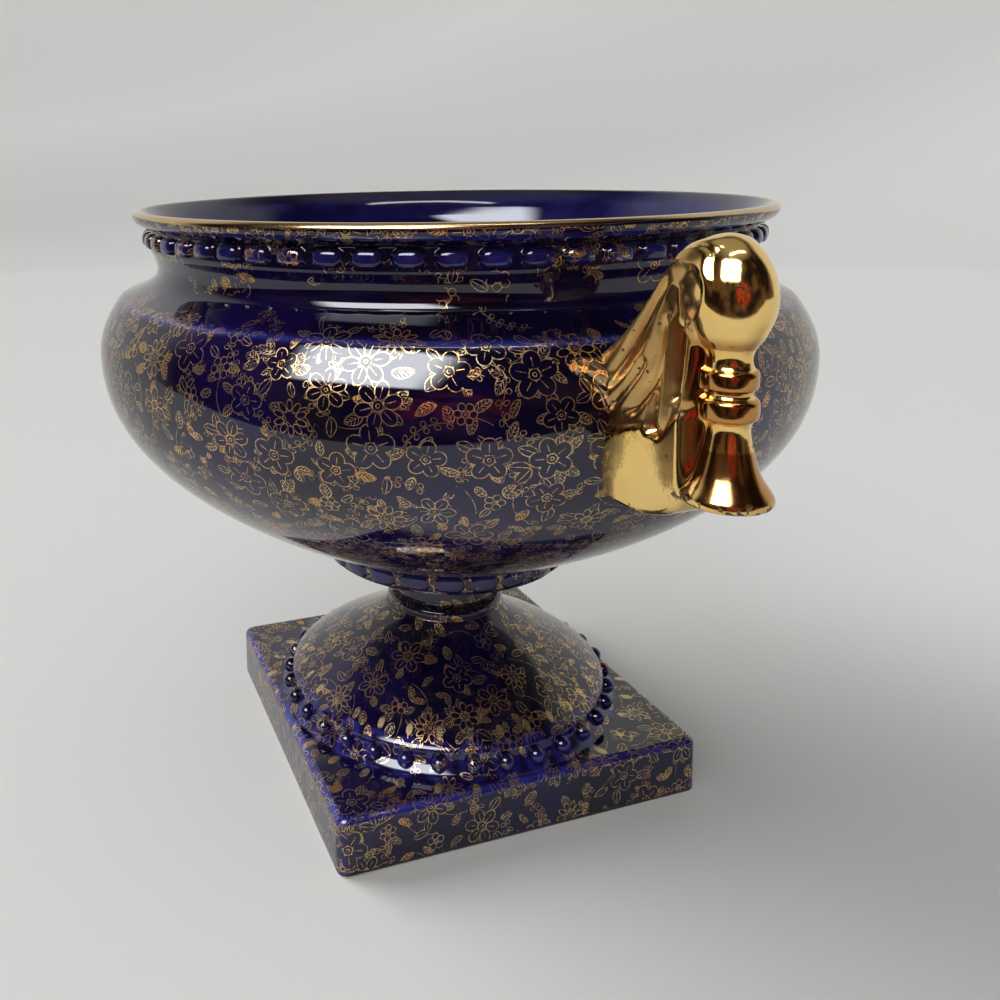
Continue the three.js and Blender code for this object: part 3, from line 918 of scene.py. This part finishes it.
def gold_lines(s):
    """How much gold lies on the glaze, from 0 to 1, and how bright it is."""
    worn = s.noise(900)
    width = s.mul(LINE, s.ramp(s.noise(260), 0.2, 0.8, 0.75, 1.3))
    bloom, bloom_area, bloom_tone = draw_blossom(s, width)
    leaf, leaf_area, leaf_tone = draw_leaf(s, width)
    twig, twig_tone = draw_twig(s, width)
    leaf = s.mul(leaf, s.sub(1.0, bloom_area))
    twig = s.mul(twig, s.sub(1.0, bloom_area), s.sub(1.0, leaf_area))
    tone = s.most(s.mul(bloom, bloom_tone), s.mul(leaf, leaf_tone), s.mul(twig, twig_tone))
    shown = s.less(s.noise(75), s.mul(s.number("print"), PRINT_SHARE))
    lines = s.mul(s.most(bloom, leaf, twig), shown)
    lines = s.most(s.mul(lines, s.ramp(worn, 0.32, 0.56, 0.2, 1.0)), draw_petals(s))
    return lines, tone


COBALT = (0.0070, 0.0032, 0.040, 1)
COBALT_POOLED = (0.0032, 0.0018, 0.010, 1)
COBALT_THIN = (0.030, 0.036, 0.30, 1)
GOLD = (0.66, 0.37, 0.12, 1)
GOLD_PALE = (0.60, 0.44, 0.24, 1)
BARE_BODY = (0.72, 0.66, 0.56, 1)


def cobalt_glaze():
    s = new_shader("cobalt_glaze")
    thin = s.number("thin")
    cloud = s.ramp(s.noise(38, 3), 0.35, 0.7)
    blue = s.mix(cloud, COBALT_POOLED, COBALT)
    patchy = s.ramp(s.noise(120), 0.3, 0.65, 0.45, 1.0)
    blue = s.mix(s.mul(thin, patchy), blue, COBALT_THIN)
    lines, tone = gold_lines(s)
    gilt = s.number("gilt")
    gilt = s.ramp(s.add(gilt, s.mul(s.sub(s.noise(300), 0.5), 0.5)), 0.45, 0.55)
    gold = s.most(lines, gilt)
    colour = s.mix(gold, blue, s.mix(tone, GOLD_PALE, GOLD))
    bare = s.number("bare")
    s.set("Base Color", s.mix(bare, colour, BARE_BODY))
    s.set("Metallic", s.mul(gold, s.sub(1.0, bare)))
    rough = s.add(s.mul(lines, 0.26), s.mul(gilt, 0.1))
    rough = s.add(rough, s.ramp(s.noise(60, 3), 0.3, 0.7, 0.025, 0.06))
    s.set("Roughness", s.most(rough, s.mul(bare, 0.75)))
    s.set("IOR", 1.56)
    ripple = s.add(s.mul(s.noise(55, 1), 0.5), s.mul(s.noise(900, 1), 0.006))
    bump = s.node("ShaderNodeBump", {"Strength": 0.35, "Distance": 0.0006, "Height": ripple})
    s.set("Normal", bump.outputs["Normal"])
    return s.material


BELL_RIM_HEIGHT = 105.4
GILT_DARK = (0.06, 0.035, 0.02, 1)
GILT_DEEP = (0.90, 0.57, 0.17, 1)
GILT_BRIGHT = (0.96, 0.68, 0.26, 1)
# Matte gold for the upper cheeks. Its darker colour is also painted shade.
GILT_DULL_SHADED = (0.50, 0.30, 0.115, 1)
# Painted shade: a dark brown-orange gold laid in the handle's recesses.
GILT_SHADED_HOLLOW = (0.42, 0.17, 0.05, 1)


def burnished_gold():
    s = new_shader("burnished_gold")
    colour = s.mix(s.ramp(s.noise(90, 3), 0.3, 0.7), GILT_DEEP, GILT_BRIGHT)
    dull = s.number("dull")
    place = s.place()
    spots = s.node("ShaderNodeTexVoronoi", {"Vector": place, "Scale": 420.0})
    few = s.more(s.split(spots.outputs["Color"])[0], s.sub(0.9, s.mul(dull, 0.3)))
    pinhole = s.mul(s.less(spots.outputs["Distance"], 0.13), few)
    worn = s.mul(s.number("wear"), s.more(s.noise(700, 3), 0.56))
    dark = s.most(pinhole, worn)
    hollow = s.number("hollow")
    # The upper cheeks are matte gold. They are rougher, and darker as painted shade.
    colour = s.mix(s.mul(dull, s.ramp(s.noise(150, 3), 0.25, 0.7, 0.55, 1.0)), colour, GILT_DULL_SHADED)
    # The hollows get painted shade: the recessed cheeks and the channel behind the pillar are darkened.
    colour = s.mix(hollow, colour, GILT_SHADED_HOLLOW)
    s.set("Base Color", s.mix(dark, colour, GILT_DARK))
    s.set("Metallic", s.sub(1.0, s.mul(dark, 0.9)))
    rough = s.add(s.ramp(s.noise(45, 3), 0.35, 0.7, 0.07, 0.15), s.mul(dark, 0.3))
    s.set("Roughness", s.add(rough, s.mul(dull, 0.15)))
    ripple = s.add(s.mul(s.noise(110), 0.5), s.mul(s.noise(1600), 0.03))
    bump = s.node("ShaderNodeBump", {"Strength": 0.5, "Distance": 0.0007, "Height": ripple})
    s.set("Normal", bump.outputs["Normal"])
    return s.material


def vertex_table(mesh):
    """How far each vertex is from the axis, and where it is, in millimetres."""
    co = column(mesh.vertices, "co", 3) / MM
    return np.hypot(co[:, 0], co[:, 1]), co


def ridge(value, at, width):
    return np.exp(-(((value - at) / width) ** 2))


def finish_bowl(piece):
    r, co = vertex_table(piece.data)
    z = co[:, 2]
    wall = np.interp(z, OUTSIDE_BY_HEIGHT[:, 1], OUTSIDE_BY_HEIGHT[:, 0])
    outer = (r > wall - 0.8) & (z > BOWL_FOOT + 1)
    turn = np.arctan2(co[:, 1], co[:, 0])
    wave = 0.25 * np.sin(3 * turn + 1) + 0.15 * np.sin(7 * turn)
    shoulder = 0.7 * ridge(z, SHOULDER[1], 0.5) * outer
    lip = 0.4 * ridge(z, 147.0, 0.5) * outer
    neck = smooth_step(128.5, 131, z) * smooth_step(141, 139, z)
    point_attributes(
        piece.data,
        thin=np.clip(shoulder + lip + 0.22 * ~outer, 0, 1),
        print=(outer & (z < 148.6)) * (1 - 0.36 * neck),
        gilt=smooth_step(148.4 + wave, 149.3 + wave, z) * smooth_step(80.0, 80.6, r + wave),
        bare=0,
    )


def finish_beads(piece, high_r, low_r):
    r, _ = vertex_table(piece.data)
    raised = np.clip((r - low_r) / (high_r - low_r), 0, 1)
    point_attributes(piece.data, thin=0.5 * raised**2, print=0.66, gilt=0, bare=0)


def finish_pedestal(piece):
    r, co = vertex_table(piece.data)
    z = co[:, 2]
    half = PLINTH_SIDE / 2
    outline = np.maximum(np.abs(co[:, 0]), np.abs(co[:, 1]))
    edge = ridge(np.hypot(outline - half + 0.5, z - PLINTH_HEIGHT + 0.5), 0, 0.9)
    upright = np.hypot(np.abs(co[:, 0]) - half + 0.8, np.abs(co[:, 1]) - half + 0.8)
    upright = 0.45 * ridge(upright, 0, 1.1) * (z > 0.5)
    turn = np.arctan2(co[:, 1], co[:, 0]) * ROUND_BEADS / TAU % 1 - 0.5
    halo = np.hypot(turn * TAU / ROUND_BEADS * r, r - BEAD_RING_RADIUS)
    halo = 0.6 * ridge(halo, 2.4, 0.8) * (z > 13) * (z < 21)
    collar = 0.7 * ridge(z, 53.8, 0.8) * (r > 28)
    under = ((z < 9.5) & (outline < half - 4)) | ((z < 54.6) & (r < 8.2)) | ((r < 38) & (z < 15))
    point_attributes(
        piece.data,
        thin=np.clip(edge + upright + collar + halo, 0, 1),
        petal=(z > 13) & (z < 24),
        print=~under & (z > 0.8),
        gilt=0,
        bare=(z < 0.35) & (outline > half - 5.5),
    )


def finish_gilding(piece):
    _, co = vertex_table(piece.data)
    x, y, z = np.abs(co).T
    # cheek and above mark the upper cheeks, which get matte gold darkened as painted shade.
    cheek = smooth_step(5.2, 6.2, y) * smooth_step(111.5, 109.5, x)
    above = smooth_step(-0.6, 0.8, z - np.interp(x, LEDGE[:, 0], LEDGE[:, 1]))
    # depth and behind mark the recessed cheek and the channel beside the pillar, which get painted shade.
    depth = 8.3 - 1.5 * smooth_step(86, 108, x) - y
    behind = smooth_step(106.4, 108.5, x) * smooth_step(6.6, 5.2, y) * (np.hypot(x - PILLAR_X, y) > 3.9)
    behind *= smooth_step(104.5, 107, z) * smooth_step(133.5, 131, z)
    point_attributes(
        piece.data,
        wear=ridge(z, BELL_RIM_HEIGHT, 0.9) * (x > 104),
        dull=cheek * above,
        hollow=np.clip(cheek * above * smooth_step(0.7, 1.9, depth) + 0.8 * behind, 0, 1),
    )


def dress(bowl, rim_beads, pedestal, round_beads, collar_beads, handles):
    finish_bowl(bowl)
    finish_beads(rim_beads, 80.4, 78.0)
    finish_beads(collar_beads, 34.6, 33.0)
    finish_beads(round_beads, 46.3, 43.8)
    finish_pedestal(pedestal)
    glaze = cobalt_glaze()
    for piece in (bowl, rim_beads, pedestal, round_beads, collar_beads):
        print_chintz(piece)
        piece.data.materials.append(glaze)
    gold = burnished_gold()
    for piece in handles:
        finish_gilding(piece)
        piece.data.materials.append(gold)


dress(
    make_bowl(), make_rim_beads(), make_pedestal(), make_round_beads(), make_collar_beads(), make_handles()
)

# ---- camera

CAMERA_AT = Vector((235.86, -107.49, 162.43)) * MM
CAMERA_YAW, CAMERA_PITCH, CAMERA_ROLL = -0.129, 0.120, -0.0211
FIT_TURN = math.radians(24.5)
IMAGE_SIDE = 1000
FOCAL_PIXELS = 952.4
PRINCIPAL = (320.0, 272.0)
SENSOR = 36.0


def make_camera():
    level = math.cos(CAMERA_PITCH)
    sine, cosine = math.sin(CAMERA_YAW), math.cos(CAMERA_YAW)
    forward = Vector((sine * level, cosine * level, -math.sin(CAMERA_PITCH)))
    right = Vector((cosine, -sine, 0))
    up = right.cross(forward)
    sine, cosine = math.sin(CAMERA_ROLL), math.cos(CAMERA_ROLL)
    right, up = cosine * right + sine * up, cosine * up - sine * right
    sine, cosine = math.sin(FIT_TURN), math.cos(FIT_TURN)
    turn = Matrix(((sine, -cosine, 0), (cosine, sine, 0), (0, 0, 1)))
    right, up, forward = turn @ right, turn @ up, turn @ forward
    data = bpy.data.cameras.new("camera")
    data.sensor_width = SENSOR
    data.lens = FOCAL_PIXELS / IMAGE_SIDE * SENSOR
    data.shift_x = 0.5 - PRINCIPAL[0] / IMAGE_SIDE
    data.shift_y = PRINCIPAL[1] / IMAGE_SIDE - 0.5
    camera = add_object("camera", data)
    facing = Matrix((right, up, -forward)).transposed().to_4x4()
    camera.matrix_world = Matrix.Translation(CAMERA_AT) @ facing
    bpy.context.scene.camera = camera


make_camera()


# ---- stage and light


def direction(azimuth, elevation):
    """Unit vector to a place round the object: azimuth 0 is the front, 90 the right."""
    a, e = math.radians(azimuth), math.radians(elevation)
    return Vector((math.sin(a) * math.cos(e), -math.cos(a) * math.cos(e), math.sin(e)))


def hide_from(item, *rays):
    for ray in rays:
        setattr(item, "visible_" + ray, False)


def plain_material(name, colour, roughness):
    s = new_shader(name)
    s.set("Base Color", colour)
    s.set("Roughness", roughness)
    return s.material


def stage_plane(name, size, material, placing):
    """A flat card on the stage."""
    w, d = size[0] / 2, size[1] / 2
    mesh = bpy.data.meshes.new(name)
    mesh.from_pydata([(-w, -d, 0), (w, -d, 0), (w, d, 0), (-w, d, 0)], [], [(0, 1, 2, 3)])
    mesh.materials.append(material)
    card = add_object(name, mesh)
    card.matrix_world = placing
    return card


SUN_FROM = (-42, 33)  # azimuth and elevation
PAPER_LIGHT = 0.42  # share of the sunlight that the whole backdrop seems to get
PAPER_GLOW = 0.52  # how strongly it glows where it gets less
PAPER_EDGE = 0.28  # how far the pale paper reaches in front of the object
FRONT = 50  # azimuth of that edge
SHEET = (1.5, 3.0)  # the sheet of paper that reflections show


def sweep_profile():
    """Floor and wall of the backdrop, as radius and height."""
    curve = bezier([(1200, 0), (2000, 0), (2350, 200), (2400, 1000)])
    return np.concatenate([[(0, 0), (600, 0)], curve])


def paper_material():
    """Pale paper, which glows where the sunlight fades, so that the backdrop is even."""
    paper = plain_material("paper", (0.70, 0.705, 0.69, 1), 0.9)
    s = Shader(paper)
    s.set("Emission Color", (1, 1, 0.985, 1))
    facing = s.node("ShaderNodeVectorMath", operation="DOT_PRODUCT")
    s.put(facing.inputs[0], s.node("ShaderNodeNewGeometry").outputs["Normal"])
    facing.inputs[1].default_value = direction(*SUN_FROM)
    missing = s.sub(PAPER_LIGHT, s.most(facing.outputs["Value"], 0.0))
    s.set("Emission Strength", s.mul(s.most(missing, 0.0), PAPER_GLOW))
    return paper


def make_stage():
    """A seamless pale sweep. Only the paper beside the object shows in its reflections."""
    paper = paper_material()
    mesh = mesh_from_grid("sweep", turned(sweep_profile(), 128), close_ends=False)
    mesh.materials.append(paper)
    mesh.shade_smooth()
    sweep = add_object("sweep", mesh)
    hide_from(sweep, "glossy", "shadow")
    at = direction(FRONT, 0) * (PAPER_EDGE - SHEET[0] / 2) + Vector((0, 0, 0.0004))
    turn = Matrix.Rotation(math.radians(FRONT - 90), 4, "Z")
    sheet = stage_plane("sheet", SHEET, paper, Matrix.Translation(at) @ turn)
    hide_from(sheet, "camera", "diffuse", "shadow")


def add_area(name, azimuth, elevation, distance, size, power, color):
    """A soft lamp aimed at the object, which its reflections don't show."""
    data = bpy.data.lights.new(name, "AREA")
    data.shape = "RECTANGLE"
    data.size, data.size_y = size
    data.energy = power
    data.color = color
    lamp = add_object(name, data)
    lamp.matrix_world = aimed(azimuth, elevation, distance)
    hide_from(lamp, "glossy", "camera")


def add_sun(name, azimuth, elevation, strength, angle):
    """Even daylight from one side, as wide as a large window, which reflections don't show."""
    data = bpy.data.lights.new(name, "SUN")
    data.energy = strength
    data.angle = math.radians(angle)
    sun = add_object(name, data)
    sun.matrix_world = aimed(azimuth, elevation, 1.5)
    hide_from(sun, "glossy")


def aimed(azimuth, elevation, distance):
    """Places something round the object with its -Z towards it."""
    middle = Vector((0, 0, 0.1))
    at = middle + direction(azimuth, elevation) * distance
    turn = (middle - at).to_track_quat("-Z", "Y").to_matrix().to_4x4()
    return Matrix.Translation(at) @ turn


def add_glow(name, azimuth, elevation, distance, size, strength, color, soft):
    """A bright card with soft edges that shows in the object's reflections alone."""
    s = new_shader(name)
    s.tree.nodes.clear()
    x, y, _ = s.split(s.place("Generated"))
    side_edge, end_edge = (s.ramp(s.size(s.sub(v, 0.5)), 0.5, 0.5 - w) for v, w in zip((x, y), soft))
    edge = s.mul(side_edge, end_edge)
    glow = s.node("ShaderNodeEmission", {"Color": color, "Strength": s.mul(edge, strength)})
    out = s.node("ShaderNodeOutputMaterial")
    s.tree.links.new(glow.outputs[0], out.inputs[0])
    card = stage_plane(name, size, s.material, aimed(azimuth, elevation, distance))
    hide_from(card, "camera", "diffuse", "shadow")


def make_world():
    """The room in the object's reflections: dark and warm in front, pale behind and at the left."""
    world = bpy.data.worlds.new("world")
    bpy.context.scene.world = world
    s = Shader(world)
    place = s.place("Generated")
    x, y, z = s.split(place)

    def towards(azimuth, elevation):
        d = direction(azimuth, elevation)
        return s.add(s.mul(x, d.x), s.mul(y, d.y), s.mul(z, d.z))

    blotch = s.ramp(s.noise(2.6, at=place), 0.42, 0.68)
    room = s.mix(blotch, (0.012, 0.008, 0.010, 1), (0.115, 0.075, 0.055, 1))
    person = s.mul(s.ramp(towards(68, 4), 0.93, 0.975), s.ramp(s.noise(9, at=place), 0.46, 0.54))
    room = s.mix(person, room, (0.46, 0.05, 0.04, 1))
    pale = s.most(s.ramp(towards(245, 0), 0.0, 0.3), s.ramp(towards(-66, 0), 0.72, 0.93))
    pale = s.mul(pale, s.ramp(z, 0.85, 0.6))
    room = s.mix(pale, room, (0.66, 0.66, 0.63, 1))
    room = s.mix(s.ramp(z, 0.80, 0.95), room, (0.30, 0.29, 0.27, 1))
    path = s.node("ShaderNodeLightPath")
    fill = s.mix(path.outputs["Is Diffuse Ray"], room, (0.36, 0.36, 0.355, 1))
    s.put(s.tree.nodes["Background"].inputs["Color"], fill)


make_stage()
make_world()
add_glow("window_glow", 40, 41, 1.1, (0.92, 0.66), 14, (0.90, 0.93, 1.0, 1), (0.22, 0.1))
add_glow("ceiling_glow", 75, 71, 1.1, (0.8, 0.10), 9, (1.0, 1.0, 1.0, 1), (0.1, 0.3))
add_area("window_light", 38, 48, 1.2, (0.8, 0.6), 2.5, (0.93, 0.96, 1.0))
add_sun("side_light", *SUN_FROM, 2.45, 42)

bpy.context.scene.view_settings.view_transform = "Standard"
